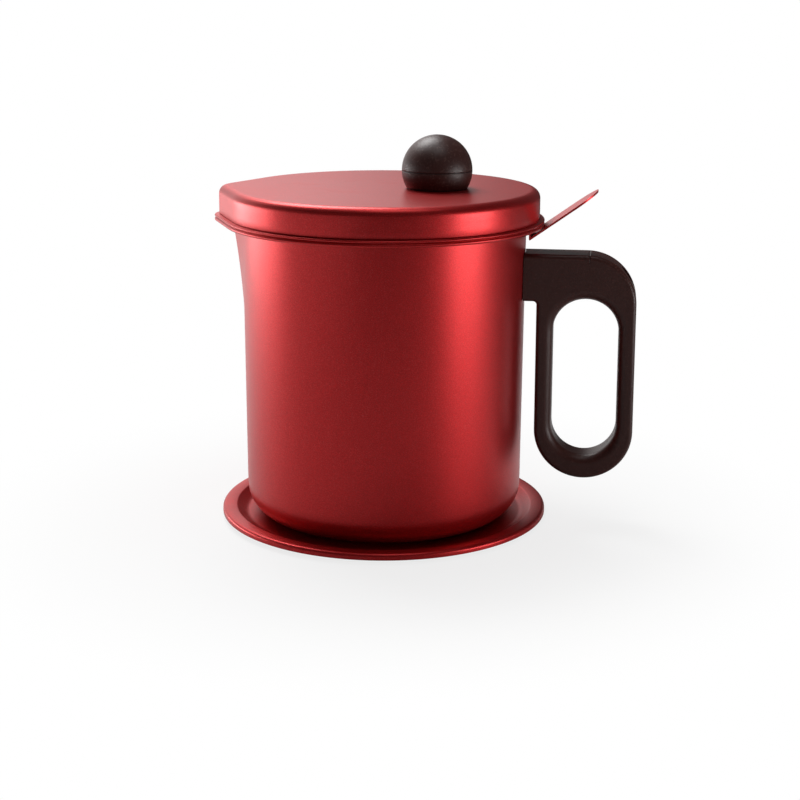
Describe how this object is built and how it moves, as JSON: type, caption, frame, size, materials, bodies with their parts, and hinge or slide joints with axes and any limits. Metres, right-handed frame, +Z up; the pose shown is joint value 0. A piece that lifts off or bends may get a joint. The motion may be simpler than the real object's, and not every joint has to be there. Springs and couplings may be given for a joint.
{
  "type": "bacon grease container",
  "caption": "Red lidded grease pot with a pouring lip, brown loop handle and ball knob, a lift-out strainer with a thumb tab, and a round coaster tray.",
  "frame": {"origin": "centre of the tray's underside on the table, on the axis of the round pot", "axes": "+X towards the handle, so the pouring lip points to -X; +Z up; Y across"},
  "size_m": [0.199, 0.155, 0.182],
  "materials": {
    "red_paint": "satin red metallic paint on pressed steel",
    "brown_plastic": "dark brown moulded heat-resistant plastic with a fine grain",
    "bright_steel": "plain steel fastener",
    "mesh_steel": "stainless steel mesh",
    "insert_brass": "turned brass",
    "pad_rubber": "matt non-slip rubber"
  },
  "bodies": {
    "tray": {"tray_pan": "red_paint", "tray_pad": "pad_rubber"},
    "pot": {"pot_shell": "red_paint", "handle_bracket": "bright_steel", "handle_nut": "bright_steel", "handle_grip": "brown_plastic", "handle_screw": "bright_steel", "handle_washer": "bright_steel", "handle_lock_washer": "bright_steel"},
    "strainer": {"strainer_ring": "red_paint", "strainer_mesh": "mesh_steel", "mesh_ring": "mesh_steel", "strainer_tab": "red_paint"},
    "lid": {"lid_shell": "red_paint", "knob_lower": "brown_plastic", "knob_upper": "brown_plastic", "knob_insert": "insert_brass", "knob_washer": "bright_steel", "knob_screw": "bright_steel"}
  },
  "joints": [
    {"name": "pot_lift", "type": "slide", "parent": "tray", "child": "pot", "axis": [0, 0, 1], "range_m": [0, 0.04]},
    {"name": "strainer_lift", "type": "slide", "parent": "pot", "child": "strainer", "axis": [0, 0, 1], "range_m": [0, 0.06]},
    {"name": "lid_lift", "type": "slide", "parent": "strainer", "child": "lid", "axis": [0, 0, 1], "range_m": [0, 0.05]}
  ]
}
